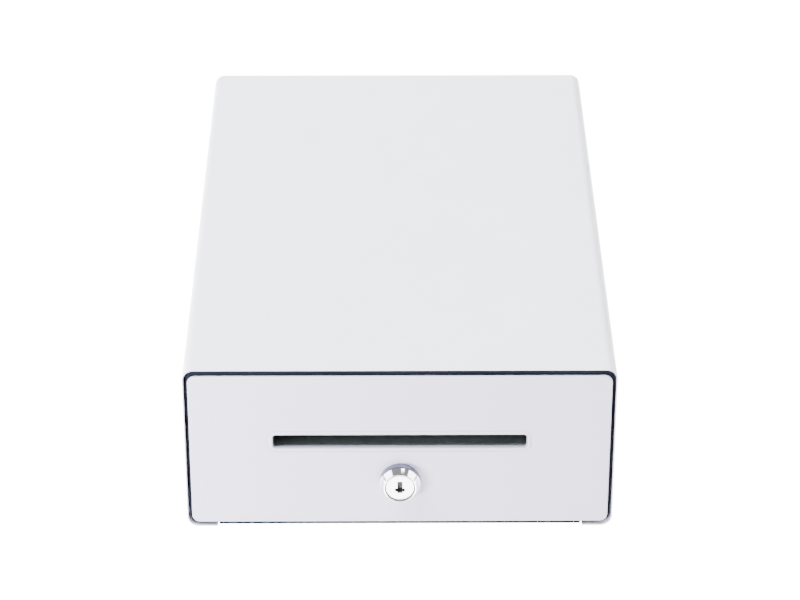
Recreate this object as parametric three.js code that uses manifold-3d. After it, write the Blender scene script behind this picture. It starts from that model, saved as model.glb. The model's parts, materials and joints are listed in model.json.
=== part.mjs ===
// Compact cash drawer: a wrap-round steel housing, a drawer on ball slides that opens to the front,
// a key lock with its release lever, a solenoid latch, and a till insert with bill clips and coin cups.
// Millimetres, +Z up. The drawer opens towards -Y. The origin is the middle of the footprint, at the
// underside of the feet.
import * as THREE from 'three';
import { mergeVertices } from 'three/addons/utils/BufferGeometryUtils.js';
import Module from 'manifold-3d';

const wasm = await Module();
wasm.setup();

// ---------------------------------------------------------------- driving dimensions
const WIDTH = 240;
const DEPTH = 375;
const SHELL_HEIGHT = 103;
const FOOT_HEIGHT = 3;
const SHEET = 1;
const SHELL_SHEET = 0.8;
const GAP = 0.3;
const SHELL_RADIUS = 6.5;
const FLANGE_WIDTH = 17;

const PANEL_SIDE_GAP = 1.9;
const PANEL_BOTTOM_LIFT = 2.85;
const PANEL_HEIGHT = 96.05;
const PANEL_THICKNESS = 1.6;
const PANEL_RADIUS = 4.5;
const PANEL_EDGE = 0.5;
const BACKING_THICKNESS = 2;
const BACKING_GAP = 0.8;
const BACKING_TAB_LIFT = 0.35;

const SLOT_HALF = 70.6;
const SLOT_HEIGHT = 8.2;
const SLOT_LIFT = 56.8;
const SLOT_COLLAR = 1.2;
const SLOT_DEPTH = 2.8;
const CHUTE_HALF_HEIGHT = 4.4;
const CHUTE_WALL = 1.6;
const CHUTE_SLOPE = 0.38;

const LOCK_PROUD = 8.5;
const LOCK_LIFT = 30.7;
const BEZEL_RADIUS = 11.5;
const BARREL_RADIUS = 9.3;
const PLUG_RADIUS = 8.25;
const CAM_THROW = 9;

const DRAWER_TRAVEL = 260;
const RAIL_LENGTH = 345;
const RAIL_CENTRE_Z = 45;

const HOOK_SWING = THREE.MathUtils.degToRad(14);
const CLIP_REACH = 56;
const CLIP_COUNT = 3;
const CUP_COUNT = 4;

// ---------------------------------------------------------------- planes and positions
const FRONT = LOCK_PROUD / 2 - DEPTH / 2;
const REAR = FRONT + DEPTH;
const SHELL_TOP = FOOT_HEIGHT + SHELL_HEIGHT;
const INNER_HALF = WIDTH / 2 - SHELL_SHEET;
const INNER_RADIUS = SHELL_RADIUS - SHELL_SHEET;
const INNER_BOTTOM = FOOT_HEIGHT + SHELL_SHEET;
const ROOF = SHELL_TOP - SHELL_SHEET;

const PANEL_HALF = INNER_HALF - PANEL_SIDE_GAP;
const PANEL_BOTTOM = FOOT_HEIGHT + PANEL_BOTTOM_LIFT;
const PANEL_TOP = PANEL_BOTTOM + PANEL_HEIGHT;
const PANEL_BACK = FRONT + PANEL_THICKNESS;
const SLOT_Z = FOOT_HEIGHT + SLOT_LIFT;
const LOCK_Z = FOOT_HEIGHT + LOCK_LIFT;

const BASE_BOTTOM = INNER_BOTTOM + GAP;
const BASE_TOP = BASE_BOTTOM + SHEET;
const BASE_FRONT = FRONT + 12;
const REAR_PANEL_FACE = REAR - 2;
const REAR_PANEL_INNER = REAR_PANEL_FACE - SHEET;

const RAIL_FRONT = FRONT + 13.25;
const TRAY_HALF = 109.3;
const BACKING_FRONT = PANEL_BACK + GAP;
const BACKING_REAR = BACKING_FRONT + BACKING_THICKNESS;
const TRAY_FRONT = BACKING_REAR + GAP;
const TRAY_FRONT_INNER = TRAY_FRONT + 1.2;
const TRAY_FLOOR = 9.5;
const TRAY_FLOOR_TOP = TRAY_FLOOR + SHEET;
const TRAY_TOP = 96.7;
const TRAY_REAR_INNER = 111;
const TRAY_REAR = 112.2;
const TRAY_WING_END = 170;
const TRAY_WING_TOP = 60;

const TILL_FRONT = -150.5;
const TILL_REAR = 110.4;
const TILL_HALF = 107.7;
const TILL_WALL = 2;
const TILL_BOTTOM = 52.5;
const TILL_FLOOR = TILL_BOTTOM + TILL_WALL;
const TILL_TOP = 98.5;
const TILL_RIM = 1.5;
const COIN_BAY_END = -63;
const BILL_BAY_START = COIN_BAY_END + TILL_WALL;
const CLIP_Y = 100;
const CLIP_Z = 84;

const BARREL_END = FRONT + 22.25;
const CAM_FRONT = BARREL_END + 2.3;
const CAM_THICKNESS = 1.8;
const FORK_FRONT = CAM_FRONT + 3.5;
const FORK_THICKNESS = 1.5;
const LEVER_BOTTOM = 7;
const LEVER_THICKNESS = 1.5;
const LEVER_HALF = 6;
const LEVER_REAR = 137;
const FORK_SLOT_HALF = 3.7;
const FORK_HALF = FORK_SLOT_HALF + 3.2;

const MECH_BASE = BASE_TOP + GAP;
const HOOK_PIVOT = new THREE.Vector2(-14, 158);
const HOOK_BOTTOM = 16.5;
const HOOK_TOP = 19.5;
const HOOK_LINK_ARM = 25;
const STRIKER_Y = 124;
const SOLENOID_Z = 21;
const PLUNGER_Y = HOOK_PIVOT.y - HOOK_LINK_ARM * Math.cos(HOOK_SWING / 2);
const LINK_X = HOOK_PIVOT.x - HOOK_LINK_ARM * Math.sin(HOOK_SWING);
const COIL_FRONT_X = -36;
const COIL_REAR_X = -72;
const EJECTOR_X = 48;
const EJECTOR_Z = 30;
const SWITCH_X = 76;
const SOCKET_X = -60;
const SOCKET_Z = 50;

const ARC_STEPS = 3;
const ROUND_SIDES = 24;

// ---------------------------------------------------------------- solids
function toSolid(geometry) {
  const bare = new THREE.BufferGeometry();
  bare.setAttribute('position', geometry.attributes.position.clone());
  if (geometry.index) bare.setIndex(geometry.index.clone());
  const merged = mergeVertices(bare, 1e-4);
  const index = merged.index.array;
  const kept = [];
  for (let i = 0; i < index.length; i += 3) {
    const [a, b, c] = [index[i], index[i + 1], index[i + 2]];
    if (a !== b && b !== c && c !== a) kept.push(a, b, c);
  }
  const vertProperties = new Float32Array(merged.attributes.position.array);
  const triVerts = new Uint32Array(kept);
  return new wasm.Manifold(new wasm.Mesh({ numProp: 3, vertProperties, triVerts }));
}

function toGeometry(solid) {
  const mesh = solid.getMesh();
  const geometry = new THREE.BufferGeometry();
  geometry.setAttribute('position', new THREE.BufferAttribute(mesh.vertProperties, 3));
  geometry.setIndex(new THREE.BufferAttribute(mesh.triVerts, 1));
  geometry.computeVertexNormals();
  return geometry;
}

function union(first, ...others) {
  return others.reduce((sum, part) => sum.add(toSolid(part)), toSolid(first));
}

function carve(solid, ...tools) {
  return tools.reduce((rest, tool) => rest.subtract(toSolid(tool)), solid);
}

// ---------------------------------------------------------------- basic forms
function box(x0, x1, y0, y1, z0, z1) {
  const geometry = new THREE.BoxGeometry(x1 - x0, y1 - y0, z1 - z0);
  return geometry.translate((x0 + x1) / 2, (y0 + y1) / 2, (z0 + z1) / 2);
}

function polygon(points) {
  return new THREE.Shape(points.map(([a, b]) => new THREE.Vector2(a, b)));
}

function roundedRect(a0, a1, b0, b1, radius) {
  const quarter = Math.PI / 2;
  const shape = new THREE.Shape();
  shape.moveTo(a0 + radius, b0);
  shape.lineTo(a1 - radius, b0);
  shape.absarc(a1 - radius, b0 + radius, radius, -quarter, 0, false);
  shape.lineTo(a1, b1 - radius);
  shape.absarc(a1 - radius, b1 - radius, radius, 0, quarter, false);
  shape.lineTo(a0 + radius, b1);
  shape.absarc(a0 + radius, b1 - radius, radius, quarter, 2 * quarter, false);
  shape.lineTo(a0, b0 + radius);
  shape.absarc(a0 + radius, b0 + radius, radius, 2 * quarter, 3 * quarter, false);
  return shape;
}

function extrude(shape, depth) {
  return new THREE.ExtrudeGeometry(shape, { depth, bevelEnabled: false, curveSegments: ARC_STEPS });
}

// A shape drawn in (y, z), extruded along X.
function alongX(shape, x0, x1) {
  const turn = new THREE.Matrix4().makeBasis(
    new THREE.Vector3(0, 1, 0),
    new THREE.Vector3(0, 0, 1),
    new THREE.Vector3(1, 0, 0),
  );
  return extrude(shape, x1 - x0).applyMatrix4(turn).translate(x0, 0, 0);
}

// A shape drawn in (x, z), extruded along Y.
function alongY(shape, y0, y1) {
  return extrude(shape, y1 - y0).rotateX(Math.PI / 2).translate(0, y1, 0);
}

// A shape drawn in (x, y), extruded along Z.
function alongZ(shape, z0, z1) {
  return extrude(shape, z1 - z0).translate(0, 0, z0);
}

function rod(axis, radius, from, to, sides = ROUND_SIDES) {
  const geometry = new THREE.CylinderGeometry(radius, radius, to - from, sides);
  geometry.translate(0, (from + to) / 2, 0);
  if (axis === 'x') geometry.rotateZ(-Math.PI / 2);
  if (axis === 'z') geometry.rotateX(Math.PI / 2);
  return geometry;
}

// A profile of [radius, height] points, anticlockwise, turned about the Y axis.
function turned(profile, sides = ROUND_SIDES) {
  return new THREE.LatheGeometry(profile.map(([r, h]) => new THREE.Vector2(r, h)), sides);
}

class Helix extends THREE.Curve {
  constructor(radius, length, turns) {
    super();
    Object.assign(this, { radius, length, turns });
  }

  getPoint(t, target = new THREE.Vector3()) {
    const angle = 2 * Math.PI * this.turns * t;
    return target.set(this.radius * Math.cos(angle), this.length * t, this.radius * Math.sin(angle));
  }
}

function sweep(path, radius, sides, steps) {
  const section = new THREE.Shape();
  for (let i = 0; i < sides; i += 1) {
    const angle = (2 * Math.PI * i) / sides;
    const [a, b] = [radius * Math.cos(angle), radius * Math.sin(angle)];
    if (i === 0) section.moveTo(a, b);
    else section.lineTo(a, b);
  }
  return new THREE.ExtrudeGeometry(section, { steps, bevelEnabled: false, extrudePath: path });
}

// A coil spring standing on the XZ plane, along +Y.
function spring(radius, wire, length, turns) {
  return sweep(new Helix(radius, length, turns), wire, 5, turns * 10);
}

// ---------------------------------------------------------------- finishes and placing
const FINISHES = {
  white_steel: [0xe6e7ec, 0.5, 0.1],
  dark_steel: [0x3c4450, 0.6, 0.3],
  zinc: [0xb4b8bc, 0.4, 0.9],
  bright_steel: [0xd0d2d4, 0.22, 1.0],
  chrome: [0xe2e4e6, 0.08, 1.0],
  black_plastic: [0x1c1d20, 0.55, 0.0],
  slate_plastic: [0x3e464c, 0.5, 0.0],
  rubber: [0x202022, 0.85, 0.0],
  copper_tape: [0x8a3b22, 0.6, 0.0],
};

function material(name) {
  const [color, roughness, metalness] = FINISHES[name];
  return new THREE.MeshStandardMaterial({ color, roughness, metalness });
}

const drawerUnit = new THREE.Group();

function place(name, shape, finish, position = [0, 0, 0]) {
  const geometry = shape.isBufferGeometry ? shape : toGeometry(shape);
  const mesh = new THREE.Mesh(geometry, material(finish));
  mesh.name = name;
  mesh.position.set(...position);
  drawerUnit.add(mesh);
}

const SIDES = [['left', -1], ['right', 1]];

// ---------------------------------------------------------------- housing
// One sheet wrapped round the top and sides, with a narrow flange turned in under each side.
function housingShell() {
  const quarter = Math.PI / 2;
  const outer = SHELL_RADIUS;
  const inner = INNER_RADIUS;
  const x = WIDTH / 2 - outer;
  const low = FOOT_HEIGHT + outer;
  const high = SHELL_TOP - outer;
  const tip = WIDTH / 2 - FLANGE_WIDTH;
  const shape = new THREE.Shape();
  shape.moveTo(tip, FOOT_HEIGHT);
  shape.absarc(x, low, outer, -quarter, 0, false);
  shape.absarc(x, high, outer, 0, quarter, false);
  shape.absarc(-x, high, outer, quarter, 2 * quarter, false);
  shape.absarc(-x, low, outer, 2 * quarter, 3 * quarter, false);
  shape.lineTo(-tip, FOOT_HEIGHT);
  shape.lineTo(-tip, INNER_BOTTOM);
  shape.absarc(-x, low, inner, 3 * quarter, 2 * quarter, true);
  shape.absarc(-x, high, inner, 2 * quarter, quarter, true);
  shape.absarc(x, high, inner, quarter, 0, true);
  shape.absarc(x, low, inner, 0, -quarter, true);
  shape.lineTo(tip, INNER_BOTTOM);
  return alongY(shape, FRONT, REAR);
}

function basePlate() {
  const half = INNER_HALF - 5;
  return box(-half, half, BASE_FRONT, REAR_PANEL_INNER - GAP, BASE_BOTTOM, BASE_TOP);
}

function rearPanel() {
  const half = INNER_HALF - GAP;
  const outline = roundedRect(-half, half, BASE_BOTTOM, ROOF - GAP, INNER_RADIUS);
  const plate = toSolid(alongY(outline, REAR_PANEL_INNER, REAR_PANEL_FACE));
  const cutout = box(SOCKET_X - 8, SOCKET_X + 8, REAR_PANEL_INNER - 1, REAR, SOCKET_Z - 7, SOCKET_Z + 7);
  return carve(plate, cutout);
}

// A modular socket: a plastic block whose mouth faces the rear.
function signalSocket() {
  const block = toSolid(box(-7.7, 7.7, -12, 0.5, -6.7, 6.7));
  const mouth = box(-5, 5, -9, 1, -3.6, 3.4);
  const latchWay = box(-2.2, 2.2, -9, 1, 3, 5.4);
  return carve(block, mouth, latchWay);
}

function foot() {
  const height = FOOT_HEIGHT - GAP;
  return turned([[0, 0], [4.4, 0], [5, 0.6], [5.2, height], [0, height]]).rotateX(Math.PI / 2);
}

function railOuter(side) {
  const wall = INNER_HALF - GAP;
  const profile = [
    [wall, -13.5], [wall, 13.5], [110.2, 13.5], [110.2, 12.3],
    [wall - 1, 12.3], [wall - 1, -12.3], [110.2, -12.3], [110.2, -13.5],
  ];
  const shape = polygon(profile.map(([x, z]) => [side * x, RAIL_CENTRE_Z + z]));
  return alongY(shape, RAIL_FRONT, RAIL_FRONT + RAIL_LENGTH);
}

function railInner(side) {
  const back = TRAY_HALF + GAP;
  const profile = [
    [back, -8.75], [back + 5, -8.75], [back + 5, -7.75], [back + 1, -7.75],
    [back + 1, 7.75], [back + 5, 7.75], [back + 5, 8.75], [back, 8.75],
  ];
  const shape = polygon(profile.map(([x, z]) => [side * x, RAIL_CENTRE_Z + z]));
  return alongY(shape, RAIL_FRONT, RAIL_FRONT + RAIL_LENGTH);
}

// The cage stays between both rails at full travel, so it starts half the travel in from the front.
function ballCage(side) {
  const length = RAIL_LENGTH - DRAWER_TRAVEL - 4;
  const front = RAIL_FRONT + DRAWER_TRAVEL / 2 + 2;
  const profile = [
    [111.3, 10.1], [115.3, 10.1], [115.3, -10.1], [111.3, -10.1],
    [111.3, -10.9], [116.1, -10.9], [116.1, 10.9], [111.3, 10.9],
  ];
  const shape = polygon(profile.map(([x, z]) => [side * x, RAIL_CENTRE_Z + z]));
  const balls = [];
  for (let i = 0; i < 4; i += 1) {
    for (const z of [-10.5, 10.5]) {
      const ball = new THREE.SphereGeometry(1.6, 8, 6);
      balls.push(ball.translate(side * 113, front + length * (0.14 + 0.24 * i), RAIL_CENTRE_Z + z));
    }
  }
  return union(alongY(shape, front, front + length), ...balls);
}

// ---------------------------------------------------------------- drawer
function drawerTray() {
  const inner = TRAY_HALF - SHEET;
  const chuteHalf = SLOT_HALF + 2.4;
  const forkWay = FORK_HALF + CAM_THROW + 1.2;
  const block = toSolid(box(-TRAY_HALF, TRAY_HALF, TRAY_FRONT, TRAY_WING_END, TRAY_FLOOR, TRAY_TOP));
  const screws = panelScrewPlaces().map(([x, z]) => (
    rod('y', 1.9, TRAY_FRONT - 1, TRAY_FRONT_INNER + 1, 12).translate(x, 0, z)
  ));
  return carve(
    block,
    box(-inner, inner, TRAY_FRONT_INNER, TRAY_REAR_INNER, TRAY_FLOOR_TOP, TRAY_TOP + 1),
    box(-inner, inner, TRAY_REAR, TRAY_WING_END + 1, TRAY_FLOOR - 1, TRAY_TOP + 1),
    box(-WIDTH, WIDTH, TRAY_REAR, TRAY_WING_END + 1, TRAY_WING_TOP, TRAY_TOP + 1),
    box(-chuteHalf, chuteHalf, TRAY_FRONT - 1, TRAY_FRONT_INNER + 1, SLOT_Z - 7, SLOT_Z + 6.4),
    rod('y', BARREL_RADIUS + 0.4, TRAY_FRONT - 1, TRAY_FRONT_INNER + 1, 32).translate(0, 0, LOCK_Z),
    box(-forkWay, forkWay, FORK_FRONT - 1.5, FORK_FRONT + 3.5, TRAY_FLOOR - 1, TRAY_FLOOR_TOP + 1),
    rod('z', 2.3, TRAY_FLOOR - 1, TRAY_FLOOR_TOP + 1, 12),
    ...screws,
  );
}

// Flat panel with rounded edges, the lock hole, and a slip slot with a collar turned in behind it.
function frontPanel() {
  const shape = roundedRect(-PANEL_HALF, PANEL_HALF, PANEL_BOTTOM, PANEL_TOP, PANEL_RADIUS);
  const halfHeight = SLOT_HEIGHT / 2;
  shape.holes.push(roundedRect(-SLOT_HALF, SLOT_HALF, SLOT_Z - halfHeight, SLOT_Z + halfHeight, 1.5));
  const slab = new THREE.ExtrudeGeometry(shape, {
    depth: PANEL_THICKNESS - 2 * PANEL_EDGE,
    bevelThickness: PANEL_EDGE,
    bevelSize: PANEL_EDGE,
    bevelOffset: -PANEL_EDGE,
    bevelSegments: 2,
    curveSegments: 3,
  });
  slab.rotateX(Math.PI / 2).translate(0, PANEL_BACK - PANEL_EDGE, 0);
  const lockHole = rod('y', BARREL_RADIUS + 0.4, FRONT - 1, PANEL_BACK + 1, 32).translate(0, 0, LOCK_Z);
  const rim = SLOT_HALF + SLOT_COLLAR;
  const rise = halfHeight + SLOT_COLLAR;
  const collar = roundedRect(-rim, rim, SLOT_Z - rise, SLOT_Z + rise, 2.2);
  collar.holes.push(roundedRect(-SLOT_HALF, SLOT_HALF, SLOT_Z - halfHeight, SLOT_Z + halfHeight, 1.5));
  const panel = toSolid(slab).add(toSolid(alongY(collar, PANEL_BACK - 0.4, FRONT + SLOT_DEPTH)));
  return carve(panel, lockHole);
}

// Dark plate behind the panel that almost fills the mouth of the housing and shows as a dark gap.
// Its bottom edge drops between the two flanges.
function panelBacking() {
  const half = INNER_HALF - BACKING_GAP;
  const bottom = INNER_BOTTOM + BACKING_GAP;
  const outline = roundedRect(-half, half, bottom, ROOF - BACKING_GAP, INNER_RADIUS - 0.5);
  const slotHalf = SLOT_HALF + SLOT_COLLAR + 0.4;
  const slotRise = SLOT_HEIGHT / 2 + SLOT_COLLAR + 0.4;
  const screwHoles = panelScrewPlaces().map(([x, z]) => (
    rod('y', 1.8, BACKING_FRONT + 0.3, BACKING_REAR + 1, 12).translate(x, 0, z)
  ));
  const tabHalf = WIDTH / 2 - FLANGE_WIDTH - BACKING_GAP;
  const tabBottom = FOOT_HEIGHT + BACKING_TAB_LIFT;
  const plate = union(
    alongY(outline, BACKING_FRONT, BACKING_REAR),
    box(-tabHalf, tabHalf, BACKING_FRONT, BACKING_REAR, tabBottom, bottom + 6),
  );
  return carve(
    plate,
    box(-slotHalf, slotHalf, BACKING_FRONT - 1, BACKING_REAR + 1, SLOT_Z - slotRise, SLOT_Z + slotRise),
    rod('y', BARREL_RADIUS + 0.4, BACKING_FRONT - 1, BACKING_REAR + 1, 32).translate(0, 0, LOCK_Z),
    ...screwHoles,
  );
}

function panelScrewPlaces() {
  return [[-98, 20], [98, 20], [-98, 88], [98, 88]];
}

function panelScrew() {
  const head = TRAY_FRONT_INNER + GAP;
  return union(
    rod('y', 3.2, head, head + 1.8, 12),
    rod('y', 1.5, BACKING_FRONT + 0.6, head + 0.5, 10),
  );
}

// A flat channel that leads slips from the slot down over the lock and under the till.
function slipChute() {
  const start = TRAY_FRONT - 0.2;
  const topEnd = TILL_FRONT - 1.5;
  const floorEnd = TILL_FRONT + 10.5;
  const half = SLOT_HALF + 0.5;
  const middle = (y) => SLOT_Z - CHUTE_SLOPE * (y - start);
  const inner = CHUTE_HALF_HEIGHT;
  const outer = CHUTE_HALF_HEIGHT + CHUTE_WALL;
  const body = polygon([
    [start, middle(start) - outer], [floorEnd, middle(floorEnd) - outer],
    [floorEnd, middle(floorEnd) - inner], [topEnd, middle(topEnd) - inner],
    [topEnd, middle(topEnd) + outer], [start, middle(start) + outer],
  ]);
  const channel = polygon([
    [start - 1, middle(start - 1) - inner], [floorEnd + 1, middle(floorEnd + 1) - inner],
    [floorEnd + 1, middle(floorEnd + 1) + inner], [start - 1, middle(start - 1) + inner],
  ]);
  return carve(toSolid(alongX(body, -half - 1.5, half + 1.5)), alongX(channel, -half, half));
}

function strikerBracket() {
  const rear = STRIKER_Y + 4.5;
  const profile = polygon([
    [TRAY_REAR + GAP, 11], [rear, 11], [rear, 12.5], [TRAY_REAR + GAP + 1.5, 12.5],
    [TRAY_REAR + GAP + 1.5, 25.5], [rear, 25.5], [rear, 27], [TRAY_REAR + GAP, 27],
  ]);
  const hole = rod('z', 2.8, 10, 28, 16).translate(0, STRIKER_Y, 0);
  return carve(toSolid(alongX(profile, -7, 7)), hole);
}

function strikerPin() {
  return union(rod('z', 2.5, 10.6, 28.6, 16), rod('z', 4, 27.3, 28.6, 16));
}

// ---------------------------------------------------------------- lock
function lockBody() {
  const face = -LOCK_PROUD;
  return turned([
    [PLUG_RADIUS + 0.35, face + 0.6], [8.75, face + 0.15], [9.0, face], [9.3, face + 0.15],
    [10.9, face + 3.8], [BEZEL_RADIUS, face + 4.6], [BEZEL_RADIUS, -0.25], [BARREL_RADIUS, -0.25],
    [BARREL_RADIUS, BARREL_END - FRONT], [PLUG_RADIUS + 0.35, BARREL_END - FRONT],
    [PLUG_RADIUS + 0.35, face + 0.6],
  ], 32);
}

function lockNut() {
  const front = TRAY_FRONT_INNER - FRONT + GAP;
  const hex = new THREE.CylinderGeometry(13, 13, 3, 6).translate(0, front + 1.5, 0);
  return carve(toSolid(hex), rod('y', BARREL_RADIUS + GAP, front - 1, front + 4, 32));
}

function lockPlug() {
  const face = 0.7 - LOCK_PROUD;
  const rear = CAM_FRONT - FRONT - GAP;
  const core = turned([
    [0, face], [PLUG_RADIUS - 0.4, face], [PLUG_RADIUS, face + 0.4], [PLUG_RADIUS, rear], [0, rear],
  ], 32);
  return carve(
    toSolid(core),
    rod('y', 3, face - 1, face + 0.5, 20),
    box(-1.2, 1.2, face - 1, face + 14, -3.3, 3.3),
    rod('y', 2.2, rear - 8, rear + 1, 12),
  );
}

// The cam carries an eccentric pin that works in the release lever's fork.
function lockCam() {
  const front = CAM_FRONT - FRONT;
  const rear = front + CAM_THICKNESS;
  const plate = union(
    rod('y', 7, front, rear),
    box(-3.5, 3.5, front, rear, -CAM_THROW, 0),
    rod('y', 3.5, front, rear, 16).translate(0, 0, -CAM_THROW),
    rod('y', 1.5, front + 0.5, rear + 4, 12).translate(0, 0, -CAM_THROW),
  );
  return carve(plate, rod('y', 2.3, front - 1, rear + 1, 12));
}

function camScrew() {
  const head = CAM_FRONT + CAM_THICKNESS - FRONT + GAP;
  return union(rod('y', 3.5, head, head + 1.1, 16), rod('y', 2, head - 8, head + 0.5, 12));
}

// ---------------------------------------------------------------- release lever
function releaseLever() {
  const top = LEVER_BOTTOM + LEVER_THICKNESS;
  const forkRear = FORK_FRONT + FORK_THICKNESS;
  const lever = union(
    box(-LEVER_HALF, LEVER_HALF, FORK_FRONT + 0.5, LEVER_REAR, LEVER_BOTTOM, top),
    box(-FORK_HALF, FORK_HALF, FORK_FRONT, forkRear, LEVER_BOTTOM, LOCK_Z + 4),
    box(-2.5, 1.5, LEVER_REAR - 5.5, LEVER_REAR, LEVER_BOTTOM, HOOK_TOP),
  );
  return carve(
    lever,
    box(-FORK_SLOT_HALF, FORK_SLOT_HALF, FORK_FRONT - 1, forkRear + 1, LOCK_Z - CAM_THROW - 5, LOCK_Z + 5),
    rod('z', 2.4, LEVER_BOTTOM - 1, top + 1, 16),
  );
}

function leverPivot() {
  return union(
    rod('z', 4.5, LEVER_BOTTOM - 1.1, LEVER_BOTTOM - GAP, 16),
    rod('z', 2, LEVER_BOTTOM - 0.5, TRAY_FLOOR_TOP + 1, 12),
    rod('z', 4, TRAY_FLOOR_TOP + GAP, TRAY_FLOOR_TOP + 1.5, 16),
  );
}

// ---------------------------------------------------------------- latch and solenoid
function latchBracket() {
  const plate = union(
    box(-34, 34, 146, 180, MECH_BASE, MECH_BASE + 1.5),
    box(-34, 34, 178.5, 180, MECH_BASE, 40),
  );
  const hole = rod('z', 3.3, MECH_BASE - 1, MECH_BASE + 3, 16).translate(HOOK_PIVOT.x, HOOK_PIVOT.y, 0);
  return carve(plate, hole);
}

function latchPin() {
  return union(
    rod('z', 3, MECH_BASE, HOOK_TOP + 1, 16),
    rod('z', 5, MECH_BASE + 1.8, HOOK_BOTTOM - GAP, 16),
    rod('z', 5, HOOK_TOP + GAP, HOOK_TOP + 2, 16),
  );
}

// Drawn catching the striker, then turned back to its released place. Local origin on the pivot.
function latchHook() {
  const nose = STRIKER_Y - 3.4 - HOOK_PIVOT.y;
  const shape = polygon([
    [-3, 6], [-3, nose - 6], [4, nose - 6.6], [17.5, nose - 1.6], [17.5, nose], [2.2, nose], [2.2, 6],
  ]);
  const plate = union(
    alongZ(shape, HOOK_BOTTOM, HOOK_TOP),
    rod('z', 6.5, HOOK_BOTTOM, HOOK_TOP),
    rod('z', 1.5, HOOK_BOTTOM + 1, HOOK_TOP + 4, 12).translate(0, -HOOK_LINK_ARM, 0),
  );
  const hook = carve(plate, rod('z', 3.3, HOOK_BOTTOM - 1, HOOK_TOP + 1, 16));
  return toGeometry(hook).rotateZ(-HOOK_SWING);
}

function solenoidFrame() {
  const y0 = PLUNGER_Y - 10;
  const y1 = PLUNGER_Y + 10;
  const block = toSolid(box(COIL_REAR_X, COIL_FRONT_X, y0, y1, MECH_BASE, SOLENOID_Z + 10.5));
  return carve(
    block,
    box(COIL_REAR_X + 2, COIL_FRONT_X - 2, y0 - 1, y1 + 1, MECH_BASE + 2, SOLENOID_Z + 12),
    rod('x', 5.6, COIL_REAR_X - 1, COIL_FRONT_X + 1).translate(0, PLUNGER_Y, SOLENOID_Z),
  );
}

function solenoidCoil() {
  const half = (COIL_FRONT_X - COIL_REAR_X) / 2 - 2 - GAP;
  const ring = turned([
    [5.5, -half], [9.6, -half], [9.6, 1.2 - half], [9, 1.2 - half], [9, half - 1.2],
    [9.6, half - 1.2], [9.6, half], [5.5, half], [5.5, -half],
  ]);
  return ring.rotateZ(-Math.PI / 2);
}

// The plunger's tongue carries a cross slot for the hook's stud. Local origin on its axis.
function solenoidPlunger() {
  const shoulder = COIL_FRONT_X + 6;
  const tongueZ = HOOK_TOP + 0.5 - SOLENOID_Z;
  const body = union(
    rod('x', 5, COIL_REAR_X + 4, shoulder),
    rod('x', 7.2, shoulder - 0.5, shoulder + 1),
    box(shoulder, LINK_X + 4.5, -4.6, 4.6, tongueZ, tongueZ + 2),
  );
  return carve(body, box(LINK_X - 1.9, LINK_X + 1.9, -2.8, 3.2, tongueZ - 1, tongueZ + 3));
}

// ---------------------------------------------------------------- ejector and switch
function ejectorBracket() {
  const plate = union(
    box(EJECTOR_X - 10, EJECTOR_X + 10, 150, 172, MECH_BASE, MECH_BASE + 1.5),
    box(EJECTOR_X - 10, EJECTOR_X + 10, 170.5, 172, MECH_BASE, EJECTOR_Z + 10),
  );
  return carve(plate, rod('y', 2.9, 169, 173, 16).translate(EJECTOR_X, 0, EJECTOR_Z));
}

function ejectorPlunger() {
  return union(rod('y', 8, TRAY_REAR + GAP, TRAY_REAR + 4), rod('y', 2.5, TRAY_REAR + 3, 186, 16));
}

function switchBody() {
  const y = TRAY_REAR + 6;
  return union(
    box(SWITCH_X - 10, SWITCH_X + 10, y, y + 10.4, 14, 30),
    box(SWITCH_X - 4, SWITCH_X + 4, y + 2, y + 9, MECH_BASE, 15),
    box(SWITCH_X - 10, SWITCH_X - 6.5, y - 3, y + 1, 14, 18.7),
    box(SWITCH_X - 10, SWITCH_X - 6.5, y - 3, y + 1, 25.3, 30),
  );
}

// A leaf lever hinged at one end of the switch, its tip at the tray's rear wall.
function switchLever() {
  return union(
    rod('z', 1, -3, 3, 12),
    box(0, 17, -1, -0.4, -2, 2),
    rod('z', 1.6, -2, 2, 12).translate(16.5, -1.6, 0),
    box(-0.5, 1, -1, 0, -2, 2),
  );
}

// ---------------------------------------------------------------- till
function billBays() {
  const inner = 2 * (TILL_HALF - TILL_WALL);
  const pitch = (inner + TILL_WALL) / CLIP_COUNT;
  return Array.from({ length: CLIP_COUNT }, (_, i) => {
    const x0 = TILL_WALL - TILL_HALF + i * pitch;
    return { x0, x1: x0 + pitch - TILL_WALL, middle: x0 + (pitch - TILL_WALL) / 2 };
  });
}

function tillInsert() {
  const coinHalf = TILL_HALF - TILL_WALL;
  const lugs = [];
  const cuts = [box(-coinHalf, coinHalf, TILL_FRONT + TILL_WALL, COIN_BAY_END, TILL_FLOOR, TILL_TOP + 1)];
  for (const { x0, x1, middle } of billBays()) {
    cuts.push(box(x0, x1, BILL_BAY_START, TILL_REAR - TILL_WALL, TILL_FLOOR, TILL_TOP + 1));
    for (const side of [-1, 1]) {
      const [a, b] = [middle + side * 7.5, middle + side * 10];
      const lug = box(Math.min(a, b), Math.max(a, b), CLIP_Y - 4.5, TILL_REAR - 1, CLIP_Z - 5, CLIP_Z + 5);
      lugs.push(toSolid(lug));
    }
  }
  const block = union(
    box(-TILL_HALF, TILL_HALF, TILL_FRONT, TILL_REAR, TILL_BOTTOM, TILL_TOP),
    box(-TRAY_HALF, TRAY_HALF, TILL_FRONT, TILL_REAR, TILL_TOP - TILL_RIM, TILL_TOP),
  );
  const hollow = carve(block, ...cuts);
  const lugged = lugs.reduce((sum, lug) => sum.add(lug), hollow);
  const pinHoles = billBays().map(({ middle }) => (
    rod('x', 1.8, middle - 12, middle + 12, 12).translate(0, CLIP_Y, CLIP_Z)
  ));
  return carve(lugged, ...pinHoles);
}

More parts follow.
